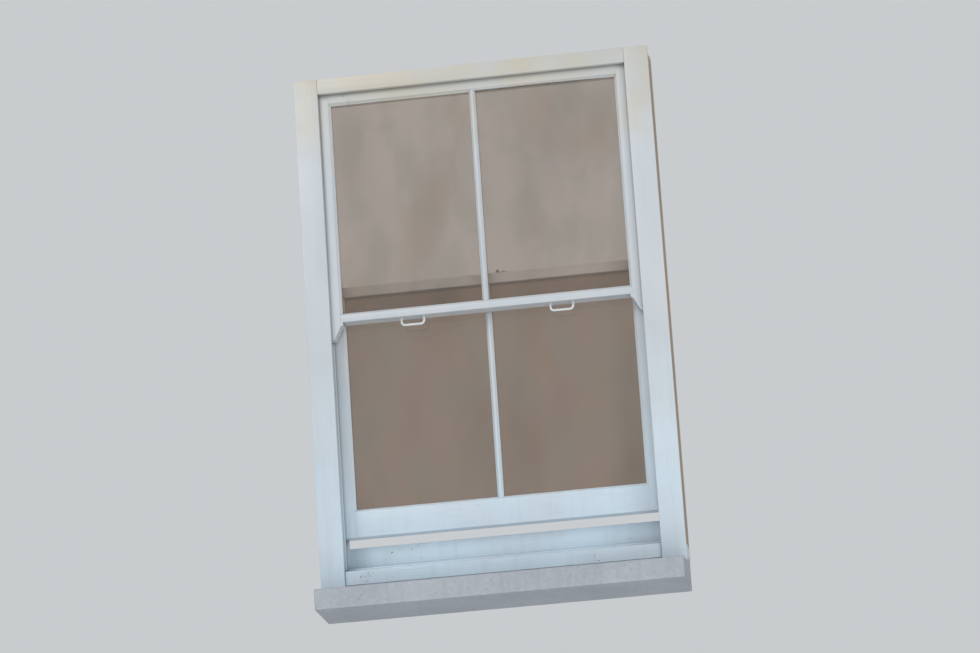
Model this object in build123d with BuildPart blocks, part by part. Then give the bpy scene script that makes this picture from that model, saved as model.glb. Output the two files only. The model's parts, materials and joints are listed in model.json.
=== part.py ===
from build123d import *
import os

# Timber box sash window, two panes over two, in its weighted frame on a stone sill. The lower sash is
# raised a hand's breadth, the upper sash is shut.
# X runs to the right as seen from outside, Y into the wall and Z up. The origin lies on the stone
# sill's underside, in the middle of the width, in the plane of the outer linings' faces.

# Sashes
sash_width = 1095.0
sash_thickness = 45.0
stile_width = 50.0
top_rail_height = 50.0
bottom_rail_height = 97.0
meeting_rail_height = 32.0
pane_height = 750.0
bar_width = 22.0
rebate_width = 8.0
rebate_depth = 14.0
glass_thickness = 4.0
glass_edge_gap = 1.5
putty_setback = 1.0
putty_land = 1.0
ovolo_radius = 9.0
bar_ovolo_radius = 6.0
moulding_step = 1.5
tenon_thickness = 14.0
tenon_length = 30.0
tenon_shoulder = 6.0
rail_splay = 9.0
rail_splay_set = 0.7
rail_splay_gap = 0.3
rail_lap_gap = 3.5
horn_length = 60.0
horn_tip_width = 20.0
horn_nose = 2.0
horn_shoulder = 10.8
horn_waist = 30.0

# Running gaps
side_gap = 2.0
track_gap = 1.25
head_gap = 1.5
close_gap = 0.5
rest_lift = 102.0
travel_reserve = 130.0

# Frame
lining_thickness = 20.0
lining_overlap = 11.5
lining_margin = 0.5
lining_arris = 1.5
pulley_stile_thickness = 20.0
tongue_thickness = 8.0
tongue_depth = 6.0
cavity_width = 46.0
back_lining_thickness = 5.0
head_board_thickness = 22.0
head_trench = 6.0
parting_bead_thickness = 9.0
parting_bead_projection = 10.0
parting_groove_depth = 8.0
parting_bead_arris = 1.5
staff_bead_projection = 14.0
staff_bead_radius = 9.0
draught_bead_height = 74.0
draught_bead_radius = 8.0
divider_width = 34.0
divider_thickness = 6.0
divider_foot_gap = 90.0
divider_neck_width = 14.0
divider_neck_height = 34.0
divider_slot_gap = 0.5
divider_head_gap = 1.0
divider_peg_radius = 2.5
pocket_foot_height = 52.0
pocket_height = 380.0
pocket_bevel = 8.0
pocket_gap = 0.5

# Sills
stone_front_y = -150.0
stone_back_y = 118.0
stone_front_height = 72.0
stone_weathering = 16.0
stone_upstand = 17.0
stone_arris = 6.0
drip_width = 10.0
drip_depth = 8.0
drip_setback = 14.0
sill_setback = 8.0
sill_overhang = 15.0
sill_height = 75.0
sill_front_height = 48.0
sill_weathering = 13.0
sill_step = 8.0
sill_seat_slope_run = 22.0
sill_nosing = 6.0
sill_housing_depth = 30.0
sill_arris = 3.0
sill_drip_width = 5.0

# Pulleys, cords and weights
cord_radius = 3.0
cord_in_sash = 6.0
pulley_pitch_radius = 25.5
pulley_rim = 3.0
pulley_width = 12.0
pulley_web_width = 6.0
pulley_flange = 3.0
pulley_groove_radius = 3.6
pulley_axle_radius = 3.5
pulley_running_gap = 0.05
pulley_drop = 98.0
cord_gap = 0.3
faceplate_height = 116.0
faceplate_width = 28.0
faceplate_thickness = 2.5
faceplate_gap = 0.2
faceplate_screw_spacing = 98.0
cheek_gap = 1.0
cheek_thickness = 2.5
cheek_height = 64.0
mortise_gap = 1.5
cord_groove_width = 14.0
cord_groove_depth = 13.0
cord_groove_length = 250.0
knot_radius = 6.0
knot_gap = 0.3
knot_bore_depth = 18.0
weight_radius = 20.0
upper_weight_length = 700.0
lower_weight_length = 760.0
weight_foot_gap = 14.0
weight_round = 8.0
weight_neck_radius = 11.0
weight_neck_height = 40.0
weight_mouth_height = 18.0
weight_mouth_width = 13.0
weight_hole_radius = 3.6
screw_radius = 1.75
screw_head_radius = 3.4

# Fittings
handle_spacing = 516.0
handle_span = 78.0
handle_rod_radius = 4.0
handle_bend_radius = 12.0
handle_foot_radius = 9.0
handle_foot_thickness = 3.0
pull_projection = 30.0
lift_projection = 34.0
lift_drop = 11.5
fastener_x = 60.0
fastener_y = 100.0
fastener_plate_length = 62.0
fastener_plate_width = 22.0
fastener_plate_thickness = 3.0
fastener_post_radius = 4.0
fastener_post_height = 13.0
fastener_post_gap = 0.1
fastener_post_arris = 0.8
fastener_screw_spacing = 42.0
fastener_hub_radius = 9.0
fastener_hub_drop = 2.0
fastener_arm_length = 42.0
fastener_arm_width = 10.0
fastener_arm_thickness = 4.5
fastener_arm_gap = 0.5
fastener_tail_length = 22.0
fastener_knob_radius = 6.5
fastener_knob_lift = 3.0
fastener_knob_neck_radius = 3.9
keeper_plate_length = 40.0
keeper_plate_width = 18.0
keeper_plate_thickness = 2.5
keeper_wall = 4.0
keeper_lip = 3.0
keeper_setback = 0.7
keeper_hook_inset = 1.0
keeper_screw_spacing = 28.0
keeper_mouth_gap = 1.0

# Depths, from the outer linings' faces into the room
upper_y = lining_thickness + track_gap
upper_back_y = upper_y + sash_thickness
parting_y = upper_back_y + track_gap
parting_back_y = parting_y + parting_bead_thickness
lower_y = parting_back_y + track_gap
lower_lap_y = lower_y - rail_splay_set
upper_lap_y = lower_lap_y - rail_splay_gap
lower_back_y = lower_y + sash_thickness
staff_y = lower_back_y + track_gap
box_back_y = staff_y + lining_thickness
upper_track_y = upper_y + sash_thickness / 2
lower_track_y = lower_y + sash_thickness / 2

# Widths, from the middle to the right
sash_edge = sash_width / 2
shoulder_x = sash_edge - stile_width + rebate_width
sight_x = sash_edge - stile_width
pane_width = sight_x - bar_width / 2
pane_x = (sight_x + bar_width / 2) / 2
stile_face = sash_edge + side_gap
cavity_x = stile_face + pulley_stile_thickness
back_lining_x = cavity_x + cavity_width
box_edge = back_lining_x + back_lining_thickness
lining_outer_x = box_edge + lining_margin
stone_length = 2 * lining_outer_x
lining_edge = stile_face - lining_overlap
bead_edge = stile_face - parting_bead_projection
lap_edge = bead_edge - rail_lap_gap
staff_edge = stile_face - staff_bead_projection
cavity_mid_x = cavity_x + cavity_width / 2

# Heights, from the stone sill's underside
stone_weather_z = stone_front_height + stone_weathering
stone_seat_z = stone_weather_z + stone_upstand
sill_seat_z = stone_seat_z + sill_height
housing_z = sill_seat_z - sill_housing_depth
closed_z = sill_seat_z + close_gap
lower_height = bottom_rail_height + pane_height + meeting_rail_height
meeting_z = closed_z + lower_height - meeting_rail_height
meeting_top_z = closed_z + lower_height
lower_z = closed_z + rest_lift
lower_top_z = lower_z + lower_height
upper_top_z = meeting_top_z + pane_height + top_rail_height
head_z = upper_top_z + head_gap
head_top_z = head_z + head_board_thickness
lining_top_z = head_top_z + lining_thickness
draught_top_z = sill_seat_z + draught_bead_height
pocket_foot_z = sill_seat_z + pocket_foot_height
pulley_z = head_z - pulley_drop
lower_travel_up = pane_height - travel_reserve

# Sloping tops of the two sills
sill_front_y = sill_setback
sill_back_y = box_back_y + sill_nosing
upstand_y = sill_front_y + sill_overhang
sill_front_z = stone_seat_z + sill_front_height
sill_step_z = sill_front_z + sill_weathering


def stone_top_z(y):
    """Height of the stone's weathered top in front of its upstand."""
    return stone_front_height + stone_weathering * (y - stone_front_y) / (upstand_y - stone_front_y)


def sill_top_z(y):
    """Height of the timber sill's weathered top outside the lower sash."""
    return sill_front_z + sill_weathering * (y - sill_front_y) / (parting_back_y - sill_front_y)


def save(piece, name):
    """Labels a finished piece and writes it."""
    piece.part.label = name
    export_step(piece.part, f"parts/{name}.step")


def save_pair(piece, name):
    """Writes a right-hand piece, and its mirror image as the left-hand one."""
    save(piece, f"{name}_right")
    with BuildPart() as left:
        mirror(piece.part, about=Plane.YZ)
    save(left, f"{name}_left")


def block(x, y, z, mode=Mode.ADD):
    """A box in the piece being built, from its low and high X, Y and Z."""
    middle = [(low + high) / 2 for low, high in (x, y, z)]
    with Locations(tuple(middle)):
        Box(x[1] - x[0], y[1] - y[0], z[1] - z[0], mode=mode)


def section_yz(points):
    """A closed outline of straight edges, in Y and Z."""
    with BuildLine() as outline:
        Polyline(*points, close=True)
    make_face(outline.edges())


def member_section(width, place):
    """Section of a stile or rail: glazing rebate outside, ovolo moulding on the room side.

    place turns a distance from the back edge and a depth from the outer face into a sketch point."""
    nib = width - moulding_step
    arc_depth = sash_thickness - moulding_step
    inset = ovolo_radius * (1 - 0.5 ** 0.5)
    with BuildLine() as outline:
        Polyline(
            place(nib - ovolo_radius, arc_depth),
            place(nib - ovolo_radius, sash_thickness),
            place(0, sash_thickness),
            place(0, 0),
            place(width - rebate_width, 0),
            place(width - rebate_width, rebate_depth),
            place(width, rebate_depth),
            place(width, arc_depth - ovolo_radius),
            place(nib, arc_depth - ovolo_radius),
        )
        ThreePointArc(
            place(nib, arc_depth - ovolo_radius),
            place(nib - inset, arc_depth - inset),
            place(nib - ovolo_radius, arc_depth),
        )
    make_face(outline.edges())


def stile(front_y, bottom_z, top_z, tenons):
    """Right-hand stile between two heights, with mortises for tenons given by their low and high Z."""
    with BuildSketch(Plane.XY.offset(bottom_z)) as section:
        member_section(stile_width, lambda across, depth: (sash_edge - across, front_y + depth))
    extrude(section.sketch, amount=top_z - bottom_z)
    for low, high in tenons:
        tenon(front_y, low, high, mode=Mode.SUBTRACT)


def tenon(front_y, low, high, mode=Mode.ADD):
    """Stub tenon at the right-hand end of a rail."""
    middle_y = front_y + sash_thickness / 2
    block(
        (sight_x, sight_x + tenon_length),
        (middle_y - tenon_thickness / 2, middle_y + tenon_thickness / 2),
        (low + tenon_shoulder, high - tenon_shoulder),
        mode,
    )


def cord_groove(track_y, top_z):
    """Groove for the cord in a right-hand stile's edge, ending in a bore for the knot."""
    groove_x = sash_edge - cord_groove_depth
    foot_z = top_z - cord_groove_length
    block(
        (groove_x, sash_edge),
        (track_y - cord_groove_width / 2, track_y + cord_groove_width / 2),
        (foot_z, top_z),
        Mode.SUBTRACT,
    )
    with BuildSketch(Plane.YZ.offset(sash_edge - knot_bore_depth)) as bore:
        with Locations((track_y, foot_z)):
            Circle(knot_radius + knot_gap)
    extrude(bore.sketch, amount=knot_bore_depth, mode=Mode.SUBTRACT)


def finish_rail(right_stile, front_y, low, high):
    """Copes a rail's ends over the stiles' mouldings and gives it its tenons."""
    add(right_stile.part, mode=Mode.SUBTRACT)
    tenon(front_y, low, high)
    split(bisect_by=Plane.YZ, keep=Keep.TOP)
    mirror(about=Plane.YZ)


def glazing_bar(front_y, low, high, rails):
    """Upright bar between two rails, coped over their mouldings."""
    half = bar_width / 2
    face_half = half - rebate_width
    arc_x = half - moulding_step
    arc_y = front_y + sash_thickness - moulding_step
    inset = bar_ovolo_radius * (1 - 0.5 ** 0.5)
    with BuildSketch(Plane.XY.offset(low)) as section:
        with BuildLine():
            Polyline(
                (0, front_y + putty_setback),
                (face_half, front_y + putty_setback),
                (face_half, front_y + rebate_depth),
                (half, front_y + rebate_depth),
                (half, arc_y - bar_ovolo_radius),
                (arc_x, arc_y - bar_ovolo_radius),
            )
            ThreePointArc(
                (arc_x, arc_y - bar_ovolo_radius),
                (arc_x - inset, arc_y - inset),
                (arc_x - bar_ovolo_radius, arc_y),
            )
            Polyline(
                (arc_x - bar_ovolo_radius, arc_y),
                (arc_x - bar_ovolo_radius, arc_y + moulding_step),
                (0, arc_y + moulding_step),
                (0, front_y + putty_setback),
            )
        make_face()
        mirror(about=Plane.YZ)
    extrude(section.sketch, amount=high - low)
    for rail in rails:
        add(rail.part, mode=Mode.SUBTRACT)


def pane(front_y, low, side):
    """Sheet of glass behind its putty."""
    edge = rebate_width - glass_edge_gap
    glass_y = front_y + rebate_depth - glass_thickness
    block(
        (side * pane_x - pane_width / 2 - edge, side * pane_x + pane_width / 2 + edge),
        (glass_y, glass_y + glass_thickness),
        (low - edge, low + pane_height + edge),
    )


def putty(front_y, low):
    """Sloping ring of putty round each pane of a sash."""
    depth = rebate_depth - glass_thickness - putty_setback
    glass_plane = Plane.XZ.offset(-(front_y + putty_setback + depth))
    face_plane = Plane.XZ.offset(-(front_y + putty_setback))
    middle_z = low + pane_height / 2
    for side in (-1, 1):
        with BuildSketch(glass_plane) as outside:
            with Locations((side * pane_x, middle_z)):
                Rectangle(pane_width + 2 * rebate_width, pane_height + 2 * rebate_width)
        extrude(outside.sketch, amount=depth)
    for side in (-1, 1):
        with BuildSketch(glass_plane) as daylight:
            with Locations((side * pane_x, middle_z)):
                Rectangle(pane_width, pane_height)
        with BuildSketch(face_plane) as face:
            with Locations((side * pane_x, middle_z)):
                Rectangle(
                    pane_width + 2 * rebate_width - putty_land,
                    pane_height + 2 * rebate_width - putty_land,
                )
        loft([daylight.sketch, face.sketch], mode=Mode.SUBTRACT)


os.makedirs("parts", exist_ok=True)

# Stone sill: weathered top, an upstand that the timber sill beds on, a drip groove underneath
with BuildPart() as stone_sill:
    with BuildSketch(Plane.YZ.offset(-stone_length / 2)) as stone_section:
        section_yz(
            [
                (stone_front_y, 0),
                (stone_front_y, stone_front_height),
                (upstand_y, stone_weather_z),
                (upstand_y, stone_seat_z),
                (stone_back_y, stone_seat_z),
                (stone_back_y, 0),
            ]
        )
        front_corners = stone_section.vertices().group_by(Axis.X)[0]
        fillet(front_corners.sort_by(Axis.Y)[-1], stone_arris)
        fillet(front_corners.sort_by(Axis.Y)[0], stone_arris / 2)
        with Locations((stone_front_y + drip_setback + drip_width / 2, 0)):
            Rectangle(drip_width, 2 * drip_depth, mode=Mode.SUBTRACT)
    extrude(amount=stone_length)
save(stone_sill, "stone_sill")

# Timber sill: sloping top with a step up under the lower sash, its ends housed for the boxes
with BuildPart() as timber_sill:
    with BuildSketch(Plane.YZ.offset(-box_edge)) as sill_section:
        section_yz(
            [
                (sill_front_y, stone_seat_z),
                (sill_front_y, sill_front_z),
                (parting_back_y, sill_step_z),
                (parting_back_y, sill_step_z + sill_step),
                (parting_back_y + sill_seat_slope_run, sill_seat_z),
                (sill_back_y, sill_seat_z),
                (sill_back_y, stone_seat_z),
            ]
        )
        fillet(sill_section.vertices().group_by(Axis.X)[0].sort_by(Axis.Y)[-1], sill_arris)
        fillet(sill_section.vertices().group_by(Axis.X)[-1].sort_by(Axis.Y)[-1], sill_arris)
        with Locations((sill_front_y + sill_overhang / 2, stone_seat_z)):
            Rectangle(sill_drip_width, 2 * tongue_depth, mode=Mode.SUBTRACT)
    extrude(amount=2 * box_edge)
    for side in (-1, 1):
        ends = sorted((side * stile_face, side * box_edge))
        block(ends, (sill_front_y, sill_back_y), (housing_z, sill_seat_z), Mode.SUBTRACT)
        ends = sorted((side * lining_edge, side * box_edge))
        block(ends, (sill_front_y, lining_thickness), (stone_seat_z, sill_seat_z), Mode.SUBTRACT)
save(timber_sill, "timber_sill")

# Outer linings: boards that lap over the upper sash's edges and run down onto the stone
with BuildPart() as outer_lining:
    with BuildSketch(Plane.YZ.offset(lining_edge)):
        section_yz(
            [
                (0, stone_top_z(0)),
                (lining_thickness, stone_top_z(lining_thickness)),
                (lining_thickness, lining_top_z),
                (0, lining_top_z),
            ]
        )
    extrude(amount=lining_outer_x - lining_edge)
    groove_x = cavity_x - tongue_thickness
    block(
        (groove_x, cavity_x),
        (lining_thickness - tongue_depth, lining_thickness),
        (housing_z, head_z + head_trench),
        Mode.SUBTRACT,
    )
    chamfer(outer_lining.edges().filter_by(Axis.Z).group_by(Axis.X)[0], lining_arris)
save_pair(outer_lining, "outer_lining")

with BuildPart() as outer_lining_head:
    block((-lining_edge, lining_edge), (0, lining_thickness), (head_z - lining_overlap, lining_top_z))
    chamfer(outer_lining_head.edges().filter_by(Axis.X).group_by(Axis.Z)[0], lining_arris)
save(outer_lining_head, "outer_lining_head")

# Inner linings: the room side of the boxes
with BuildPart() as inner_lining:
    block((stile_face, lining_outer_x), (staff_y, box_back_y), (sill_seat_z, lining_top_z))
    block((stile_face, box_edge), (staff_y, box_back_y), (housing_z, sill_seat_z))
save_pair(inner_lining, "inner_lining")

with BuildPart() as inner_lining_head:
    block((-stile_face, stile_face), (staff_y, box_back_y), (head_z, lining_top_z))
save(inner_lining_head, "inner_lining_head")

# Head board: trenched over the pulley stiles, grooved for its bead, slotted for the dividers
divider_y = parting_y + parting_bead_thickness / 2
with BuildPart() as head_board:
    block((-box_edge, box_edge), (lining_thickness, staff_y), (head_z, head_top_z))
    block(
        (-stile_face, stile_face),
        (parting_y, parting_back_y),
        (head_z, head_z + parting_groove_depth),
        Mode.SUBTRACT,
    )
    for side in (-1, 1):
        trench = sorted((side * stile_face, side * cavity_x))
        block(trench, (lining_thickness, staff_y), (head_z, head_z + head_trench), Mode.SUBTRACT)
        with Locations((side * cavity_mid_x, divider_y, head_z + head_board_thickness / 2)):
            Box(
                divider_neck_width + 2 * divider_slot_gap,
                divider_thickness + 2 * divider_slot_gap,
                head_board_thickness,
                mode=Mode.SUBTRACT,
            )
save(head_board, "head_board")


def pocket_outline(gap):
    """Wedge-ended outline of the pocket in a pulley stile, in X and Z, drawn in by a gap."""
    foot = pocket_foot_z + gap
    top = pocket_foot_z + pocket_height - gap
    with BuildLine() as outline:
        Polyline(
            (stile_face, foot),
            (cavity_x, foot + pocket_bevel),
            (cavity_x, top - pocket_bevel),
            (stile_face, top),
            close=True,
        )
    make_face(outline.edges())


def faceplate_outline(track_y, grow):
    """Round-ended outline of a pulley's faceplate, in Y and Z."""
    with Locations((track_y, pulley_z)):
        SlotOverall(faceplate_height + 2 * grow, faceplate_width + 2 * grow, rotation=90)


# Pulley stiles: the sashes' tracks, with a bead groove, two pulley mortises and a pocket each
case_half_width = pulley_width / 2 + cheek_gap + cheek_thickness
with BuildPart() as pulley_stile:
    block((stile_face, cavity_x), (lining_thickness, staff_y), (housing_z, head_z + head_trench))
    block(
        (cavity_x - tongue_thickness, cavity_x),
        (lining_thickness - tongue_depth, lining_thickness),
        (housing_z, head_z + head_trench),
    )
    block(
        (stile_face, stile_face + parting_groove_depth),
        (parting_y, parting_back_y),
        (housing_z, head_z + head_trench),
        Mode.SUBTRACT,
    )
    for track_y in (upper_track_y, lower_track_y):
        with BuildSketch(Plane.YZ.offset(stile_face)):
            faceplate_outline(track_y, faceplate_gap)
        extrude(amount=faceplate_thickness, mode=Mode.SUBTRACT)
        block(
            (stile_face, cavity_x),
            (track_y - case_half_width - mortise_gap, track_y + case_half_width + mortise_gap),
            (pulley_z - cheek_height / 2 - mortise_gap, pulley_z + cheek_height / 2 + mortise_gap),
            Mode.SUBTRACT,
        )
    with BuildSketch(Plane.XZ.offset(-staff_y)):
        pocket_outline(0)
    extrude(amount=staff_y - parting_back_y, mode=Mode.SUBTRACT)
save_pair(pulley_stile, "pulley_stile")

with BuildPart() as pocket_cover:
    with BuildSketch(Plane.XZ.offset(-staff_y)):
        pocket_outline(pocket_gap)
    extrude(amount=staff_y - parting_back_y - pocket_gap)
save_pair(pocket_cover, "pocket_cover")

# Back linings: thin boards that close the boxes towards the wall
with BuildPart() as back_lining:
    block((back_lining_x, box_edge), (lining_thickness, staff_y), (housing_z, head_z))
save_pair(back_lining, "back_lining")

# Parting beads: strips that keep the two sashes apart, let into the stiles and the head
with BuildPart() as parting_bead:
    with BuildSketch(Plane.YZ.offset(bead_edge)):
        section_yz(
            [
                (parting_y, sill_top_z(parting_y)),
                (parting_back_y, sill_top_z(parting_back_y)),
                (parting_back_y, head_z),
                (parting_y, head_z),
            ]
        )
    extrude(amount=parting_bead_projection + parting_groove_depth)
    fillet(parting_bead.edges().filter_by(Axis.Z).group_by(Axis.X)[0], parting_bead_arris)
save_pair(parting_bead, "parting_bead")

with BuildPart() as parting_bead_head:
    block(
        (-bead_edge, bead_edge),
        (parting_y, parting_back_y),
        (head_z - parting_bead_projection, head_z + parting_groove_depth),
    )
    block((-stile_face, stile_face), (parting_y, parting_back_y), (head_z, head_z + parting_groove_depth))
    fillet(parting_bead_head.edges().filter_by(Axis.X).group_by(Axis.Z)[0], parting_bead_arris)
save(parting_bead_head, "parting_bead_head")

# Staff beads: removable mouldings that hold the lower sash in from the room side
with BuildPart() as staff_bead:
    block((staff_edge, stile_face), (staff_y, box_back_y), (sill_seat_z, head_z))
    room_edge = staff_bead.edges().filter_by(Axis.Z).group_by(Axis.X)[0].sort_by(Axis.Y)[-1]
    fillet(room_edge, staff_bead_radius)
save_pair(staff_bead, "staff_bead")

with BuildPart() as staff_bead_head:
    block((-staff_edge, staff_edge), (staff_y, box_back_y), (head_z - staff_bead_projection, head_z))
    room_edge = staff_bead_head.edges().filter_by(Axis.X).group_by(Axis.Z)[0].sort_by(Axis.Y)[-1]
    fillet(room_edge, staff_bead_radius)
save(staff_bead_head, "staff_bead_head")

with BuildPart() as draught_bead:
    block((-staff_edge, staff_edge), (staff_y, box_back_y), (sill_seat_z, draught_top_z))
    room_edge = draught_bead.edges().filter_by(Axis.X).group_by(Axis.Z)[-1].sort_by(Axis.Y)[-1]
    fillet(room_edge, draught_bead_radius)
save(draught_bead, "draught_bead")

# Weight dividers: thin boards hung on pegs from the head, between the two weights of a box
with BuildPart() as divider:
    divider_shoulder_z = head_z - divider_head_gap
    block(
        (cavity_mid_x - divider_width / 2, cavity_mid_x + divider_width / 2),
        (divider_y - divider_thickness / 2, divider_y + divider_thickness / 2),
        (housing_z + divider_foot_gap, divider_shoulder_z),
    )
    block(
        (cavity_mid_x - divider_neck_width / 2, cavity_mid_x + divider_neck_width / 2),
        (divider_y - divider_thickness / 2, divider_y + divider_thickness / 2),
        (divider_shoulder_z, divider_shoulder_z + divider_neck_height),
    )
    with BuildSketch(Plane.XZ.offset(-(divider_y + 2 * divider_thickness))):
        with Locations((cavity_mid_x, head_top_z + divider_peg_radius)):
            Circle(divider_peg_radius)
    extrude(amount=4 * divider_thickness)
with BuildPart() as weight_dividers:
    add(divider.part)
    mirror(divider.part, about=Plane.YZ)
save(weight_dividers, "weight_dividers")

# Pulleys: a case with an axle let into the stile, and a grooved wheel that turns in it
pulley_x = sash_edge - cord_in_sash + pulley_pitch_radius
cord_x = pulley_x - pulley_pitch_radius
weight_x = pulley_x + pulley_pitch_radius
pulley_radius = pulley_pitch_radius + pulley_rim
groove_bottom_radius = pulley_pitch_radius - cord_radius - cord_gap
bore_radius = pulley_axle_radius + pulley_running_gap
for track_name, track_y in (("upper", upper_track_y), ("lower", lower_track_y)):
    with BuildPart() as pulley_case:
        with BuildSketch(Plane.YZ.offset(stile_face)):
            faceplate_outline(track_y, 0)
            with Locations((track_y, pulley_z)):
                slot_height = 2 * pulley_radius
                Rectangle(pulley_width + 2 * cheek_gap, slot_height, mode=Mode.SUBTRACT)
        extrude(amount=faceplate_thickness)
        for inner_y in (
            track_y - pulley_width / 2 - cheek_gap,
            track_y + pulley_width / 2 + cheek_gap + cheek_thickness,
        ):
            with BuildSketch(Plane.XZ.offset(-inner_y)):
                with Locations((pulley_x, pulley_z)):
                    Circle(cheek_height / 2)
                with Locations(((stile_face + faceplate_thickness + pulley_x) / 2, pulley_z)):
                    Rectangle(pulley_x - stile_face - faceplate_thickness, cheek_height)
                with Locations((stile_face + faceplate_thickness - cheek_height, pulley_z)):
                    Rectangle(2 * cheek_height, 2 * cheek_height, mode=Mode.SUBTRACT)
            extrude(amount=cheek_thickness)
        with BuildSketch(Plane.XZ.offset(-(track_y + case_half_width))):
            with Locations((pulley_x, pulley_z)):
                Circle(pulley_axle_radius)
        extrude(amount=2 * case_half_width)
        for end in (-1, 1):
            screw_z = pulley_z + end * faceplate_screw_spacing / 2
            with Locations(Plane((stile_face, track_y, screw_z), z_dir=(-1, 0, 0))):
                CounterSinkHole(screw_radius, screw_head_radius, depth=faceplate_thickness)
    save_pair(pulley_case, f"pulley_case_{track_name}")

    with BuildPart() as pulley_wheel:
        with BuildSketch(Plane.XY.offset(pulley_z)):
            rim_y = pulley_width / 2
            web_y = pulley_web_width / 2
            hub_x = pulley_x + 2 * pulley_axle_radius
            web_x = pulley_x + groove_bottom_radius - pulley_flange
            with BuildLine():
                Polyline(
                    (pulley_x + bore_radius, track_y - rim_y),
                    (hub_x, track_y - rim_y),
                    (hub_x, track_y - web_y),
                    (web_x, track_y - web_y),
                    (web_x, track_y - rim_y),
                    (pulley_x + pulley_radius, track_y - rim_y),
                    (pulley_x + pulley_radius, track_y + rim_y),
                    (web_x, track_y + rim_y),
                    (web_x, track_y + web_y),
                    (hub_x, track_y + web_y),
                    (hub_x, track_y + rim_y),
                    (pulley_x + bore_radius, track_y + rim_y),
                    close=True,
                )
            make_face()
            with Locations((pulley_x + groove_bottom_radius + pulley_groove_radius, track_y)):
                Circle(pulley_groove_radius, mode=Mode.SUBTRACT)
            with Locations((pulley_x + groove_bottom_radius + 2 * pulley_groove_radius, track_y)):
                Rectangle(2 * pulley_groove_radius, 2 * pulley_groove_radius, mode=Mode.SUBTRACT)
        revolve(axis=Axis((pulley_x, 0, pulley_z), (0, 1, 0)))
    save_pair(pulley_wheel, f"pulley_wheel_{track_name}")

# Weights: iron cylinders that hang on the cords, each with a neck bored for its cord's knot
lower_weight_z = housing_z + weight_foot_gap + lower_travel_up
upper_weight_z = housing_z + weight_foot_gap
for track_name, track_y, foot_z, length in (
    ("upper", upper_track_y, upper_weight_z, upper_weight_length),
    ("lower", lower_track_y, lower_weight_z, lower_weight_length),
):
    shoulder_z = foot_z + length
    neck_top_z = shoulder_z + weight_neck_height
    mouth_z = neck_top_z - weight_neck_height / 2
    with BuildPart() as weight:
        with BuildSketch(Plane.XZ.offset(-track_y)):
            with BuildLine():
                Polyline(
                    (weight_x, neck_top_z),
                    (weight_x, foot_z),
                    (weight_x + weight_radius - weight_round, foot_z),
                )
                RadiusArc(
                    (weight_x + weight_radius - weight_round, foot_z),
                    (weight_x + weight_radius, foot_z + weight_round),
                    -weight_round,
                )
                Polyline(
                    (weight_x + weight_radius, foot_z + weight_round),
                    (weight_x + weight_radius, shoulder_z),
                    (weight_x + weight_neck_radius, shoulder_z + weight_round),
                    (weight_x + weight_neck_radius, neck_top_z),
                    (weight_x, neck_top_z),
                )
            make_face()
        revolve(axis=Axis((weight_x, track_y, 0), (0, 0, 1)))
        block(
            (weight_x - weight_radius, weight_x + weight_radius),
            (track_y - weight_mouth_width / 2, track_y + weight_mouth_width / 2),
            (mouth_z - weight_mouth_height / 2, mouth_z + weight_mouth_height / 2),
            Mode.SUBTRACT,
        )
        with BuildSketch(Plane.XY.offset(mouth_z)):
            with Locations((weight_x, track_y)):
                Circle(weight_hole_radius)
        extrude(amount=weight_neck_height, mode=Mode.SUBTRACT)
    save_pair(weight, f"weight_{track_name}")

# Cords: from the knot in the sash's edge over the wheel to the knot in the weight
upper_knot_z = upper_top_z - cord_groove_length
lower_knot_z = lower_top_z - cord_groove_length
for track_name, track_y, sash_knot_z, weight_foot_z, length in (
    ("upper", upper_track_y, upper_knot_z, upper_weight_z, upper_weight_length),
    ("lower", lower_track_y, lower_knot_z, lower_weight_z, lower_weight_length),
):
    mouth_top_z = weight_foot_z + length + (weight_neck_height + weight_mouth_height) / 2
    weight_knot_z = mouth_top_z - knot_gap - knot_radius
    with BuildPart() as cord:
        with BuildLine() as route:
            Line((cord_x, track_y, sash_knot_z), (cord_x, track_y, pulley_z))
            ThreePointArc(
                (cord_x, track_y, pulley_z),
                (pulley_x, track_y, pulley_z + pulley_pitch_radius),
                (weight_x, track_y, pulley_z),
            )
            Line((weight_x, track_y, pulley_z), (weight_x, track_y, weight_knot_z))
        with BuildSketch(Plane.XY.offset(sash_knot_z)):
            with Locations((cord_x, track_y)):
                Circle(cord_radius)
        sweep()
        with Locations((cord_x, track_y, sash_knot_z), (weight_x, track_y, weight_knot_z)):
            Sphere(knot_radius)
    save_pair(cord, f"cord_{track_name}")


def handle(points):
    """Round rod bent into a D through four points, with a disc at each foot."""
    with BuildLine() as bend:
        FilletPolyline(*points, radius=handle_bend_radius)
    away = (points[1] - points[0]).normalized()
    with BuildSketch(Plane(points[0], z_dir=away)) as rod:
        Circle(handle_rod_radius)
    sweep(rod.sketch, path=bend.line)
    for foot_point in (points[0], points[3]):
        with BuildSketch(Plane(foot_point, z_dir=away)) as foot:
            Circle(handle_foot_radius)
        extrude(foot.sketch, amount=handle_foot_thickness)


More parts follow.
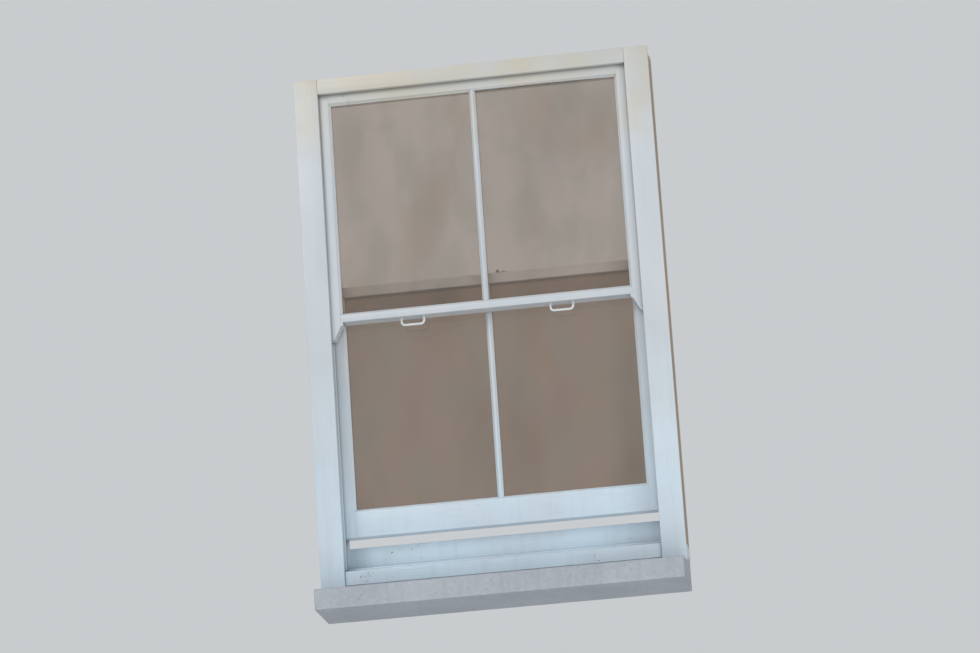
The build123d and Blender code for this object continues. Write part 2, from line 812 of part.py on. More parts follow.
# Upper sash: stiles with moulded horns below the meeting rail
with BuildPart() as upper_stile:
    stile(
        upper_y,
        meeting_z,
        upper_top_z,
        [(meeting_z, meeting_top_z), (upper_top_z - top_rail_height, upper_top_z)],
    )
    with BuildSketch(Plane.XZ.offset(-upper_back_y)):
        tip_x = sash_edge - horn_tip_width + horn_nose
        waist_x = (sight_x + tip_x) / 2
        with BuildLine():
            Polyline(
                (tip_x, meeting_z - horn_length),
                (sash_edge, meeting_z - horn_length),
                (sash_edge, meeting_z),
                (sight_x, meeting_z),
                (sight_x, meeting_z - horn_shoulder),
            )
            Spline(
                (sight_x, meeting_z - horn_shoulder),
                (waist_x, meeting_z - horn_waist),
                (tip_x, meeting_z - horn_length),
                tangents=((1.0, -0.15), (0.35, -1.0)),
            )
        make_face()
    extrude(amount=sash_thickness)
    cord_groove(upper_track_y, upper_top_z)
save_pair(upper_stile, "upper_stile")

with BuildPart() as upper_top_rail:
    with BuildSketch(Plane.YZ):
        member_section(top_rail_height, lambda across, depth: (upper_y + depth, upper_top_z - across))
    extrude(amount=shoulder_x)
    finish_rail(upper_stile, upper_y, upper_top_z - top_rail_height, upper_top_z)
save(upper_top_rail, "upper_top_rail")

with BuildPart() as upper_meeting_rail:
    with BuildSketch(Plane.YZ):
        section_yz(
            [
                (upper_y, meeting_z),
                (upper_back_y, meeting_z),
                (upper_back_y, meeting_top_z),
                (upper_y + rebate_depth, meeting_top_z),
                (upper_y + rebate_depth, meeting_top_z - rebate_width),
                (upper_y, meeting_top_z - rebate_width),
            ]
        )
    extrude(amount=shoulder_x)
    finish_rail(upper_stile, upper_y, meeting_z, meeting_top_z)
    with BuildSketch(Plane.YZ.offset(-lap_edge)):
        section_yz(
            [
                (upper_back_y, meeting_z),
                (upper_lap_y, meeting_z),
                (upper_lap_y - rail_splay, meeting_top_z),
                (upper_back_y, meeting_top_z),
            ]
        )
    extrude(amount=2 * lap_edge)
save(upper_meeting_rail, "upper_meeting_rail")

with BuildPart() as upper_glazing_bar:
    glazing_bar(
        upper_y,
        meeting_top_z - rebate_width,
        upper_top_z - top_rail_height + rebate_width,
        [upper_top_rail, upper_meeting_rail],
    )
save(upper_glazing_bar, "upper_glazing_bar")

for side, side_name in ((-1, "left"), (1, "right")):
    with BuildPart() as upper_pane:
        pane(upper_y, meeting_top_z, side)
    save(upper_pane, f"upper_pane_{side_name}")

with BuildPart() as upper_putty:
    putty(upper_y, meeting_top_z)
save(upper_putty, "upper_putty")

# Lower sash: the deep bottom rail stands on the sill when the sash is shut
lower_glass_z = lower_z + bottom_rail_height
lower_rail_z = lower_top_z - meeting_rail_height
with BuildPart() as lower_stile:
    stile(
        lower_y,
        lower_z,
        lower_top_z,
        [(lower_z, lower_glass_z), (lower_rail_z, lower_top_z)],
    )
    cord_groove(lower_track_y, lower_top_z)
save_pair(lower_stile, "lower_stile")

with BuildPart() as lower_bottom_rail:
    with BuildSketch(Plane.YZ):
        member_section(bottom_rail_height, lambda across, depth: (lower_y + depth, lower_z + across))
    extrude(amount=shoulder_x)
    finish_rail(lower_stile, lower_y, lower_z, lower_glass_z)
save(lower_bottom_rail, "lower_bottom_rail")

with BuildPart() as lower_meeting_rail:
    groove_y = lower_y + rebate_depth - glass_thickness
    with BuildSketch(Plane.YZ):
        section_yz(
            [
                (lower_y, lower_rail_z),
                (groove_y, lower_rail_z),
                (groove_y, lower_rail_z + rebate_width),
                (groove_y + glass_thickness, lower_rail_z + rebate_width),
                (groove_y + glass_thickness, lower_rail_z),
                (lower_back_y, lower_rail_z),
                (lower_back_y, lower_top_z),
                (lower_y, lower_top_z),
            ]
        )
    extrude(amount=shoulder_x)
    finish_rail(lower_stile, lower_y, lower_rail_z, lower_top_z)
    with BuildSketch(Plane.YZ.offset(-lap_edge)):
        section_yz(
            [
                (lower_y, lower_rail_z),
                (lower_lap_y, lower_rail_z),
                (lower_lap_y - rail_splay, lower_top_z),
                (lower_y, lower_top_z),
            ]
        )
    extrude(amount=2 * lap_edge)
save(lower_meeting_rail, "lower_meeting_rail")

with BuildPart() as lower_glazing_bar:
    glazing_bar(
        lower_y,
        lower_glass_z - rebate_width,
        lower_rail_z,
        [lower_bottom_rail],
    )
save(lower_glazing_bar, "lower_glazing_bar")

for side, side_name in ((-1, "left"), (1, "right")):
    with BuildPart() as lower_pane:
        pane(lower_y, lower_glass_z, side)
    save(lower_pane, f"lower_pane_{side_name}")

with BuildPart() as lower_putty:
    putty(lower_y, lower_glass_z)
    add(lower_meeting_rail.part, mode=Mode.SUBTRACT)
save(lower_putty, "lower_putty")

# D handles: a pair under the upper meeting rail to pull down by, a pair on the bottom rail to lift by
with BuildPart() as pull_handle:
    pull_y = upper_y + sash_thickness / 2
    pull_left_x = (handle_spacing - handle_span) / 2
    pull_right_x = (handle_spacing + handle_span) / 2
    pull_bar_z = meeting_z - pull_projection + handle_rod_radius
    handle(
        [
            Vector(pull_left_x, pull_y, meeting_z),
            Vector(pull_left_x, pull_y, pull_bar_z),
            Vector(pull_right_x, pull_y, pull_bar_z),
            Vector(pull_right_x, pull_y, meeting_z),
        ]
    )
with BuildPart() as upper_pull_handles:
    add(pull_handle.part)
    mirror(pull_handle.part, about=Plane.YZ)
save(upper_pull_handles, "upper_pull_handles")

with BuildPart() as lift_handle:
    lift_z = lower_glass_z - lift_drop
    lift_bar_y = lower_back_y + lift_projection - handle_rod_radius
    handle(
        [
            Vector(pull_left_x, lower_back_y, lift_z),
            Vector(pull_left_x, lift_bar_y, lift_z),
            Vector(pull_right_x, lift_bar_y, lift_z),
            Vector(pull_right_x, lower_back_y, lift_z),
        ]
    )
with BuildPart() as lower_lift_handles:
    add(lift_handle.part)
    mirror(lift_handle.part, about=Plane.YZ)
save(lower_lift_handles, "lower_lift_handles")

# Sash fastener: a lever that swings on a post on the lower meeting rail into a keeper on the upper one
arm_z = lower_top_z + fastener_plate_thickness + fastener_arm_gap
post_top_z = lower_top_z + fastener_post_height
with BuildPart() as fastener_base:
    with BuildSketch(Plane.XY.offset(lower_top_z)):
        with Locations((fastener_x, fastener_y)):
            SlotOverall(fastener_plate_length, fastener_plate_width)
    extrude(amount=fastener_plate_thickness)
    with BuildSketch(Plane.XY.offset(lower_top_z)):
        with Locations((fastener_x, fastener_y)):
            Circle(fastener_post_radius)
    extrude(amount=fastener_post_height)
    chamfer(fastener_base.edges().group_by(Axis.Z)[-1], fastener_post_arris)
    with Locations((fastener_x, fastener_y, lower_top_z + fastener_plate_thickness)):
        with GridLocations(fastener_screw_spacing, 0, 2, 1):
            CounterSinkHole(screw_radius, screw_head_radius, depth=fastener_plate_thickness)
save(fastener_base, "fastener_base")

with BuildPart() as fastener_lever:
    with BuildSketch(Plane.XY.offset(arm_z)) as lever_outline:
        arm_half = fastener_arm_width / 2
        with Locations((fastener_x, fastener_y)):
            Circle(fastener_hub_radius)
        arm_middle = fastener_x + (fastener_arm_length - arm_half) / 2
        with Locations((arm_middle, fastener_y)):
            Rectangle(fastener_arm_length - arm_half, fastener_arm_width)
        with Locations((fastener_x + fastener_arm_length - arm_half, fastener_y)):
            Circle(arm_half)
        with Locations((fastener_x - fastener_tail_length / 2, fastener_y)):
            Rectangle(fastener_tail_length, fastener_arm_width)
        with Locations((fastener_x - fastener_tail_length, fastener_y)):
            Circle(fastener_knob_radius)
    extrude(amount=fastener_arm_thickness)
    with BuildSketch(Plane.XY.offset(arm_z)):
        with Locations((fastener_x, fastener_y)):
            Circle(fastener_hub_radius)
    extrude(amount=post_top_z - arm_z - fastener_hub_drop)
    with BuildSketch(Plane.XY.offset(arm_z)):
        with Locations((fastener_x, fastener_y)):
            Circle(fastener_post_radius + fastener_post_gap)
    extrude(amount=fastener_post_height, mode=Mode.SUBTRACT)
    knob_rise = fastener_knob_lift + fastener_knob_radius
    with Locations((fastener_x - fastener_tail_length, fastener_y, arm_z + knob_rise)):
        Sphere(fastener_knob_radius)
    with BuildSketch(Plane.XY.offset(arm_z)):
        with Locations((fastener_x - fastener_tail_length, fastener_y)):
            Circle(fastener_knob_neck_radius)
    extrude(amount=knob_rise)
save(fastener_lever, "fastener_lever")

with BuildPart() as fastener_keeper:
    arm_low_z = fastener_plate_thickness + fastener_arm_gap
    mouth_top = arm_low_z + fastener_arm_thickness + keeper_mouth_gap
    tip_y = fastener_y - fastener_arm_length
    keeper_back_y = upper_lap_y - rail_splay - keeper_setback
    keeper_y = (keeper_back_y - keeper_plate_width, keeper_back_y)
    stop_x = fastener_x - fastener_arm_width / 2 - keeper_mouth_gap
    block(
        (fastener_x - keeper_plate_length / 2, fastener_x + keeper_plate_length / 2),
        keeper_y,
        (meeting_top_z, meeting_top_z + keeper_plate_thickness),
    )
    hook_y = (tip_y - keeper_hook_inset, keeper_back_y - keeper_hook_inset)
    block((stop_x - keeper_wall, stop_x), hook_y, (meeting_top_z, meeting_top_z + mouth_top + keeper_wall))
    block(
        (stop_x - keeper_wall, fastener_x + fastener_arm_width / 2),
        hook_y,
        (meeting_top_z + mouth_top, meeting_top_z + mouth_top + keeper_lip),
    )
    with Locations((fastener_x, sum(keeper_y) / 2, meeting_top_z + keeper_plate_thickness)):
        with GridLocations(keeper_screw_spacing, 0, 2, 1):
            CounterSinkHole(screw_radius, screw_head_radius, depth=keeper_plate_thickness)
save(fastener_keeper, "fastener_keeper")
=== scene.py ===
import json
import math

import bpy
from mathutils import Matrix, Vector


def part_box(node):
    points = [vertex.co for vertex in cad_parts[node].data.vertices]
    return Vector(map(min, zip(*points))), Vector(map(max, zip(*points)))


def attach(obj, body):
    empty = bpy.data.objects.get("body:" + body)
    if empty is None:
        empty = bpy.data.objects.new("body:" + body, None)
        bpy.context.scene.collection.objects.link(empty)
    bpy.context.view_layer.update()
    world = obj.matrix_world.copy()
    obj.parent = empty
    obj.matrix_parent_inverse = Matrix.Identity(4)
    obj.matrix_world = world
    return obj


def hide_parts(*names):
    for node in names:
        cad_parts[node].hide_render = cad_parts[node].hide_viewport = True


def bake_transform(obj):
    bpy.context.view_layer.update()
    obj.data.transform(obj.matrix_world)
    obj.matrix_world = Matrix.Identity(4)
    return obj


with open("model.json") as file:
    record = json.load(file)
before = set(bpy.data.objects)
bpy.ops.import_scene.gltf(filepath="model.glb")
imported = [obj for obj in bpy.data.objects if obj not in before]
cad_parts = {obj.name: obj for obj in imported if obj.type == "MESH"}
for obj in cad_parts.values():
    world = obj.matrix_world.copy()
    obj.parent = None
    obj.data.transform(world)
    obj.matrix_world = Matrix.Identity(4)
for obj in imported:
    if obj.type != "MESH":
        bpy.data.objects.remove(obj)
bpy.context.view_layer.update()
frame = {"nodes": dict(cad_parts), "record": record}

# Camera. The window is seen from well below, a little from its right, through a long lens, and the
# picture leans as it does near the edge of a wide view.
eye = Vector((1.607, -13.175, -2.595))
aim = Vector((0.012, 0.0, 0.955))
lens_mm = 148.0
lean = math.radians(3.85)
farthest_seen = 100.0
bpy.ops.object.select_all(action="DESELECT")
bpy.ops.object.camera_add(location=eye)
camera = bpy.context.object
camera.name = "camera"
camera.data.lens = lens_mm
camera.data.clip_end = farthest_seen
facing = (aim - eye).to_track_quat("-Z", "Y").to_matrix().to_4x4()
camera.matrix_world = Matrix.Translation(eye) @ facing @ Matrix.Rotation(-lean, 4, "Z")
bpy.context.scene.camera = camera
bpy.context.scene.view_settings.view_transform = "Standard"


def linear(code):
    """A colour given as sRGB hex digits, in the linear values that a shader takes."""
    parts = [int(code[place:place + 2], 16) / 255 for place in (0, 2, 4)]
    parts = [p / 12.92 if p <= 0.04045 else ((p + 0.055) / 1.055) ** 2.4 for p in parts]
    return (*parts, 1.0)


def add_node(tree, kind, inputs=None, **settings):
    """Adds a node with its settings; inputs gives each socket a value or another node's output."""
    made = tree.nodes.new(kind)
    for name, value in settings.items():
        setattr(made, name, value)
    for socket, value in (inputs or {}).items():
        if isinstance(value, bpy.types.Node):
            value = value.outputs[0]
        if isinstance(value, bpy.types.NodeSocket):
            tree.links.new(value, made.inputs[socket])
        else:
            made.inputs[socket].default_value = value
    return made


# Daylight. An overcast sky lights the object from all round, and what the camera, the glass and the
# metal see behind it is an even pale grey.
sky_light = linear("E4E9EE")
backdrop_grey = linear("C9CCCE")
sky_strength = 0.62
backdrop_strength = 1.0
world = bpy.data.worlds.new("overcast_sky")
bpy.context.scene.world = world
world.use_nodes = True
tree = world.node_tree
tree.nodes.clear()
path = add_node(tree, "ShaderNodeLightPath")
seen = path.outputs["Is Camera Ray"]
for ray in ("Is Glossy Ray", "Is Transmission Ray"):
    seen = add_node(tree, "ShaderNodeMath", {0: seen, 1: path.outputs[ray]}, operation="MAXIMUM")
light = add_node(tree, "ShaderNodeBackground", {"Color": sky_light, "Strength": sky_strength})
shown = add_node(tree, "ShaderNodeBackground",
                 {"Color": backdrop_grey, "Strength": backdrop_strength})
mixed = add_node(tree, "ShaderNodeMixShader", {0: seen, 1: light, 2: shown})
add_node(tree, "ShaderNodeOutputWorld", {"Surface": mixed})

# Lamps. A wide soft lamp stands in for the brighter part of the sky, in front and to the left, with
# a weaker one to the right, one low in front for light thrown up from the ground, and one indoors.
for name, place, target, size, power in (
    ("sky_lamp", (-4.0, -6.5, 6.5), (0, 0, 1.0), 5.0, 300.0),
    ("side_lamp", (5.5, -4.0, 2.5), (0, 0, 1.0), 3.5, 110.0),
    ("ground_lamp", (1.0, -5.0, -3.0), (0, 0, 0.6), 5.0, 150.0),
    ("room_lamp", (-2.0, 6.5, 4.0), (0, 0, 1.0), 4.5, 170.0),
):
    bpy.ops.object.light_add(type="AREA", location=place)
    lamp = bpy.context.object
    lamp.name = name
    lamp.data.shape = "DISK"
    lamp.data.size = size
    lamp.data.energy = power
    lamp.rotation_euler = (Vector(target) - Vector(place)).to_track_quat("-Z", "Y").to_euler()
    lamp.visible_camera = False
    lamp.visible_transmission = False

# Floor. A pale plain sheet under the stone sill that fades out into the backdrop. From below it is
# clear, because the camera looks up past it and daylight from the ground reaches the sill.
floor_pale = linear("D2D4D5")
floor_size = 20.0
floor_drop = 0.0005
fade_start = 2.0
fade_end = 7.0
gap_under_sill = 0.012
bpy.ops.mesh.primitive_plane_add(size=floor_size, location=(0, 0, -floor_drop))
floor = bpy.context.object
floor.name = "floor"
floor_surface = bpy.data.materials.new("matt_pale_floor")
floor_surface.use_nodes = True
tree = floor_surface.node_tree
tree.nodes.clear()
path = add_node(tree, "ShaderNodeLightPath")
side = add_node(tree, "ShaderNodeNewGeometry")
place = add_node(tree, "ShaderNodeTexCoord").outputs["Object"]
reach = add_node(tree, "ShaderNodeVectorMath", {0: place}, operation="LENGTH")
faded = add_node(tree, "ShaderNodeMapRange",
                 {"Value": reach.outputs["Value"], "From Min": fade_start, "From Max": fade_end},
                 interpolation_type="SMOOTHSTEP")
near = add_node(tree, "ShaderNodeMath", {0: path.outputs["Ray Length"], 1: gap_under_sill},
                operation="LESS_THAN")
clear = side.outputs["Backfacing"]
for cause in (path.outputs["Is Shadow Ray"], faded, near):
    clear = add_node(tree, "ShaderNodeMath", {0: clear, 1: cause}, operation="MAXIMUM")
paint = add_node(tree, "ShaderNodeBsdfDiffuse", {"Color": floor_pale})
gone = add_node(tree, "ShaderNodeBsdfTransparent")
mixed = add_node(tree, "ShaderNodeMixShader", {0: clear, 1: paint, 2: gone})
add_node(tree, "ShaderNodeOutputMaterial", {"Surface": mixed})
floor.data.materials.append(floor_surface)

# Stone sill. A sandstone sill cut with a weathered top, an upstand and a drip groove, and coated
# with masonry paint. Years of weather have rounded its arrises and left it slightly uneven, matt
# and gritty, with bare yellow stone where the paint has gone from a corner.
merge_gap = 0.00001
flat_within = math.radians(0.6)
voxel_mm = 5.0
smoothing = 0.5
smoothing_passes = 2
wear_depth = 0.0014
wear_size = 0.045
wear_layers = 3
grit_mm = 4.0  # sand grains of half a millimetre, drawn coarser so that they show
pit_mm = 22.0
relief_depth = 0.0012
ragged_mm = 30.0
ragged_share = 0.12
bared = (0.615, 0.65)  # how raised and ragged a spot is where its paint thins, and has gone
bared_cover = 0.75
grime_and_shade_range = (0.85, 0.3)  # how open a spot is where grime and painted shade start, and where they are darkest
occlusion_rays = 8
under, over, laid = 6, 7, 2  # a Mix node's two colour sockets, and its colour output
sill_colour = linear("AAAEB4")
sill_dark = linear("979CA4")
sill_light = linear("C6C9CC")
sill_dirt_and_shade = linear("70736F")
sill_bare = linear("A39478")


def select_only(piece):
    """Leaves one object selected and active."""
    bpy.ops.object.select_all(action="DESELECT")
    piece.select_set(True)
    bpy.context.view_layer.objects.active = piece


def merged_copy(node, name, join_flats=True):
    """A copy of a CAD node with its own mesh, its corners merged and its flat faces joined."""
    piece = bpy.data.objects.new(name, frame["nodes"][node].data.copy())
    piece.data.materials.clear()
    bpy.context.scene.collection.objects.link(piece)
    select_only(piece)
    if piece.data.has_custom_normals:
        bpy.ops.mesh.customdata_custom_splitnormals_clear()
    bpy.ops.object.mode_set(mode="EDIT")
    bpy.ops.mesh.select_all(action="SELECT")
    bpy.ops.mesh.remove_doubles(threshold=merge_gap)
    if join_flats:
        bpy.ops.mesh.dissolve_limited(angle_limit=flat_within)
    bpy.ops.object.mode_set(mode="OBJECT")
    return piece


def apply_modifier(piece, kind, **settings):
    """Adds a modifier with its settings and applies it."""
    made = piece.modifiers.new(kind.lower(), kind)
    for name, value in settings.items():
        setattr(made, name, value)
    select_only(piece)
    bpy.ops.object.modifier_apply(modifier=made.name)


def stand_for(piece, node, material):
    """The piece replaces a CAD node, moves with its body and is finished in a material."""
    bodies = frame["record"]["behaviour"]["bodies"]
    piece.data.materials.append(material)
    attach(piece, next(body for body, nodes in bodies.items() if node in nodes))
    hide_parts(node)


def start_finish(name):
    """An empty material with its tree and the object coordinates that its patterns read."""
    material = bpy.data.materials.new(name)
    material.use_nodes = True
    material.node_tree.nodes.clear()
    place = add_node(material.node_tree, "ShaderNodeTexCoord").outputs["Object"]
    return material, material.node_tree, place


def close_finish(tree, inputs):
    """Ends a finish in one Principled shader."""
    shader = add_node(tree, "ShaderNodeBsdfPrincipled", inputs)
    add_node(tree, "ShaderNodeOutputMaterial", {"Surface": shader})


def stained(tree, place, colour, stain, size_mm, spread, strength, run=(1.0, 1.0, 1.0), detail=3.0):
    """Lays a stain over a colour in patches of about this size, drawn out along an axis by run."""
    along = add_node(tree, "ShaderNodeMapping",
                     {"Vector": place, "Scale": tuple(1 / length for length in run)})
    patch = add_node(tree, "ShaderNodeTexNoise",
                     {"Vector": along, "Scale": 1000 / size_mm, "Detail": detail})
    cover = add_node(tree, "ShaderNodeMapRange",
                     {"Value": patch, "From Min": spread[0], "From Max": spread[1],
                      "To Max": strength})
    layer = add_node(tree, "ShaderNodeMix", {0: cover, under: colour, over: stain},
                     data_type="RGBA")
    return layer.outputs[laid]


def grime_and_painted_shade(tree, colour, grime_and_shade, reach_mm, strength, only_itself=False):
    """Painted shade with grime: darkens a colour in corners and under edges found by occlusion."""
    open_sky = add_node(tree, "ShaderNodeAmbientOcclusion", {"Distance": reach_mm / 1000},
                        samples=occlusion_rays, only_local=only_itself)
    cover = add_node(tree, "ShaderNodeMapRange",
                     {"Value": open_sky.outputs["AO"], "From Min": grime_and_shade_range[0],
                      "From Max": grime_and_shade_range[1], "To Max": strength})
    layer = add_node(tree, "ShaderNodeMix", {0: cover, under: colour, over: grime_and_shade},
                     data_type="RGBA")
    return layer.outputs[laid]


stone, tree, place = start_finish("masonry_paint_on_sandstone")
colour = stained(tree, place, sill_colour, sill_dark, size_mm=220, spread=(0.35, 0.7),
                 strength=0.55)
colour = stained(tree, place, colour, sill_light, size_mm=12, spread=(0.45, 0.8), strength=0.3,
                 detail=6.0)
colour = stained(tree, place, colour, sill_dark, size_mm=40, spread=(0.5, 0.75), strength=0.5,
                 run=(0.6, 1.0, 5.0), detail=5.0)
colour = stained(tree, place, colour, sill_dirt_and_shade, size_mm=14, spread=(0.63, 0.7), strength=0.35,
                 detail=6.0)
bulge = add_node(tree, "ShaderNodeNewGeometry").outputs["Pointiness"]
ragged = add_node(tree, "ShaderNodeTexNoise",
                  {"Vector": place, "Scale": 1000 / ragged_mm, "Detail": 6.0})
ragged = add_node(tree, "ShaderNodeMath", {0: ragged, 1: ragged_share, 2: bulge},
                  operation="MULTIPLY_ADD")
rubbed = add_node(tree, "ShaderNodeMapRange",
                  {"Value": ragged, "From Min": bared[0], "From Max": bared[1],
                   "To Max": bared_cover})
colour = add_node(tree, "ShaderNodeMix", {0: rubbed, under: colour, over: sill_bare},
                  data_type="RGBA").outputs[laid]
# Painted shade: dirt grey darkens the drip groove and the corners under the upstand, by occlusion.
colour = grime_and_painted_shade(tree, colour, sill_dirt_and_shade, reach_mm=40, strength=0.6, only_itself=True)
sand = add_node(tree, "ShaderNodeTexNoise",
                {"Vector": place, "Scale": 1000 / grit_mm, "Detail": 8.0, "Roughness": 0.7})
hollow = add_node(tree, "ShaderNodeTexNoise",
                  {"Vector": place, "Scale": 1000 / pit_mm, "Detail": 4.0})
hollow = add_node(tree, "ShaderNodeMapRange", {"Value": hollow, "From Min": 0.3, "From Max": 0.42})
relief = add_node(tree, "ShaderNodeMath", {0: sand, 1: hollow}, operation="ADD")
bump = add_node(tree, "ShaderNodeBump",
                {"Height": relief, "Distance": relief_depth, "Strength": 0.8})
close_finish(tree, {"Base Color": colour, "Roughness": 0.82, "IOR": 1.5, "Normal": bump})

sill = merged_copy("stone_sill", "stone_sill_weathered")
apply_modifier(sill, "REMESH", mode="VOXEL", voxel_size=voxel_mm / 1000, use_smooth_shade=True)
apply_modifier(sill, "SMOOTH", factor=smoothing, iterations=smoothing_passes)
wear = bpy.data.textures.new("worn_stone", "CLOUDS")
wear.noise_scale = wear_size
wear.noise_depth = wear_layers
apply_modifier(sill, "DISPLACE", texture=wear, texture_coords="LOCAL", strength=wear_depth,
               mid_level=0.5)
low, high = (Vector(corner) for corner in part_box("stone_sill"))
for point in sill.data.vertices:
    point.co = [min(max(value, least), most) for value, least, most in zip(point.co, low, high)]
stand_for(sill, "stone_sill", stone)

# Gloss paint. Many coats of white oil paint brushed over softwood, shiny here and dull there, with
# furrows along each board, streaks of rain, and grime with painted shade in the corners. Low down
# it is painted a lighter, bluer white as though lit by the sky, under the head a cream as painted
# warm shade, and where water lies longest flakes have lifted off the wood.
paint_white = linear("C5C9CC")
painted_skylight_blue = linear("C8DDEA")
painted_warm_shade_cream = linear("C2B69C")
paint_grey = linear("B7BEC4")
paint_grime_and_shade = linear("83888A")
weathered_wood = linear("9B9385")
skylight_heights = (0.95, 0.10)
warm_shade_heights = (1.60, 1.89)
painted_light_cover = 0.85
height_sway = 0.12
height_sway_mm = 240.0
furrow_mm = 3.0  # a brush's furrows are half a millimetre apart, drawn wider so that they show
furrow_length = 40.0
furrow_share = 0.5
stroke_mm = 30.0
paint_depth = 0.0012
flake_mm = 9.0
flake_patch_mm = 180.0
flake_gather = 0.6
flake_cover = 0.85
flake_sink = 0.4
flaking_at = 1.1  # paint is gone where the flakes' pattern is higher than this, less rain's share
flaking_edge = 0.02
flaking_by_rain = 0.1
dull_patch_mm = 160.0
dull_range = (0.22, 0.5)


def gloss_paint(name, furrows, flaking):
    """Gloss paint; furrows says how long brush marks are along each axis, flaking is 0 to 1."""
    material, tree, place = start_finish(name)
    sway = add_node(tree, "ShaderNodeTexNoise",
                    {"Vector": place, "Scale": 1000 / height_sway_mm, "Detail": 3.0})
    sway = add_node(tree, "ShaderNodeMapRange",
                    {"Value": sway, "From Min": 0.3, "From Max": 0.7, "To Min": -height_sway,
                     "To Max": height_sway})
    height = add_node(tree, "ShaderNodeSeparateXYZ", {0: place}).outputs["Z"]
    height = add_node(tree, "ShaderNodeMath", {0: height, 1: sway}, operation="ADD")
    colour = paint_white
    # Painted light: lighter and bluer low down, as though sky-lit, and cream under the head, as in
    # shade.
    for tint, (start, end) in ((painted_skylight_blue, skylight_heights),
                               (painted_warm_shade_cream, warm_shade_heights)):
        cover = add_node(tree, "ShaderNodeMapRange",
                         {"Value": height, "From Min": start, "From Max": end,
                          "To Max": painted_light_cover})
        colour = add_node(tree, "ShaderNodeMix", {0: cover, under: colour, over: tint},
                          data_type="RGBA").outputs[laid]
    colour = stained(tree, place, colour, paint_grey, size_mm=340, spread=(0.35, 0.72),
                     strength=0.6)
    colour = stained(tree, place, colour, paint_grey, size_mm=26, spread=(0.5, 0.85),
                     strength=0.45, run=(1.0, 1.0, 14.0))
    colour = stained(tree, place, colour, paint_grey, size_mm=furrow_mm, spread=(0.5, 0.8),
                     strength=0.5, run=furrows)
    colour = stained(tree, place, colour, paint_grime_and_shade, size_mm=11, spread=(0.66, 0.74),
                     strength=0.25, detail=5.0)
    flakes = add_node(tree, "ShaderNodeTexNoise",
                      {"Vector": place, "Scale": 1000 / flake_mm, "Detail": 6.0})
    patches = add_node(tree, "ShaderNodeTexNoise",
                       {"Vector": place, "Scale": 1000 / flake_patch_mm, "Detail": 2.0})
    flakes = add_node(tree, "ShaderNodeMath", {0: patches, 1: flake_gather, 2: flakes},
                      operation="MULTIPLY_ADD")
    lifted = flaking_at - flaking_by_rain * flaking
    flakes = add_node(tree, "ShaderNodeMapRange",
                      {"Value": flakes, "From Min": lifted, "From Max": lifted + flaking_edge,
                       "To Max": flake_cover})
    colour = add_node(tree, "ShaderNodeMix", {0: flakes, under: colour, over: weathered_wood},
                      data_type="RGBA").outputs[laid]
    # Painted shade: grime grey darkens the paint in corners, under edges and behind the panes.
    colour = grime_and_painted_shade(tree, colour, paint_grime_and_shade, reach_mm=16, strength=0.85)
    along = add_node(tree, "ShaderNodeMapping",
                     {"Vector": place, "Scale": tuple(1 / length for length in furrows)})
    hairs = add_node(tree, "ShaderNodeTexNoise",
                     {"Vector": along, "Scale": 1000 / furrow_mm, "Detail": 2.0})
    swell = add_node(tree, "ShaderNodeTexNoise",
                     {"Vector": along, "Scale": 1000 / stroke_mm, "Detail": 1.0})
    relief = add_node(tree, "ShaderNodeMath", {0: hairs, 1: furrow_share, 2: swell},
                      operation="MULTIPLY_ADD")
    relief = add_node(tree, "ShaderNodeMath", {0: flakes, 1: -flake_sink, 2: relief},
                      operation="MULTIPLY_ADD")
    bump = add_node(tree, "ShaderNodeBump",
                    {"Height": relief, "Distance": paint_depth, "Strength": 0.7})
    dull = add_node(tree, "ShaderNodeTexNoise",
                    {"Vector": place, "Scale": 1000 / dull_patch_mm, "Detail": 3.0})
    dull = add_node(tree, "ShaderNodeMapRange",
                    {"Value": dull, "To Min": dull_range[0], "To Max": dull_range[1]})
    close_finish(tree, {"Base Color": colour, "Roughness": dull, "IOR": 1.5, "Normal": bump})
    return material


paint_upright = gloss_paint("gloss_paint_brushed_upright", (1.0, 1.0, furrow_length), 0.0)
paint_level = gloss_paint("gloss_paint_brushed_level", (furrow_length, 1.0, 1.0), 0.0)
paint_worn = gloss_paint("gloss_paint_worn_by_rain", (furrow_length, 1.0, 1.0), 0.75)

# Timber sill. One deep softwood section with a sloping top, bedded on the stone's upstand, with a
# step that keeps rain out below the lower sash. Rain wears its paint most, and lying low it takes
# the painted sky-lit blue most strongly.
sharp_edge = math.radians(40)  # an edge that turns by more than this is an arris
smooth_within = math.radians(35)


def planed(node, material, arris_mm=1.4):
    """Puts a planed timber piece in a CAD node's place, with its arrises eased."""
    piece = merged_copy(node, f"{node}_planed")
    apply_modifier(piece, "BEVEL", width=arris_mm / 1000, segments=3, limit_method="ANGLE",
                   angle_limit=sharp_edge)
    bpy.ops.object.shade_smooth_by_angle(angle=smooth_within)
    stand_for(piece, node, material)


planed("timber_sill", paint_worn, 2.0)

# Linings and stiles. Planed softwood boards, housed and nailed together into a hollow box on each
# side of the sashes, and painted where they show.
for side in ("left", "right"):
    for board in ("outer_lining", "inner_lining", "pulley_stile", "pocket_cover"):
        planed(f"{board}_{side}", paint_upright)
for board in ("outer_lining_head", "inner_lining_head"):
    planed(board, paint_level)

# Beads. Thin strips that guide the sashes: parting beads between them, and staff beads and the deep
# draught bead on the room side, which come off when a sash has to come out.
for side in ("left", "right"):
    planed(f"parting_bead_{side}", paint_upright, 1.0)
    planed(f"staff_bead_{side}", paint_upright, 1.2)
for board in ("parting_bead_head", "staff_bead_head"):
    planed(board, paint_level, 1.2)
planed("draught_bead", paint_worn, 1.2)

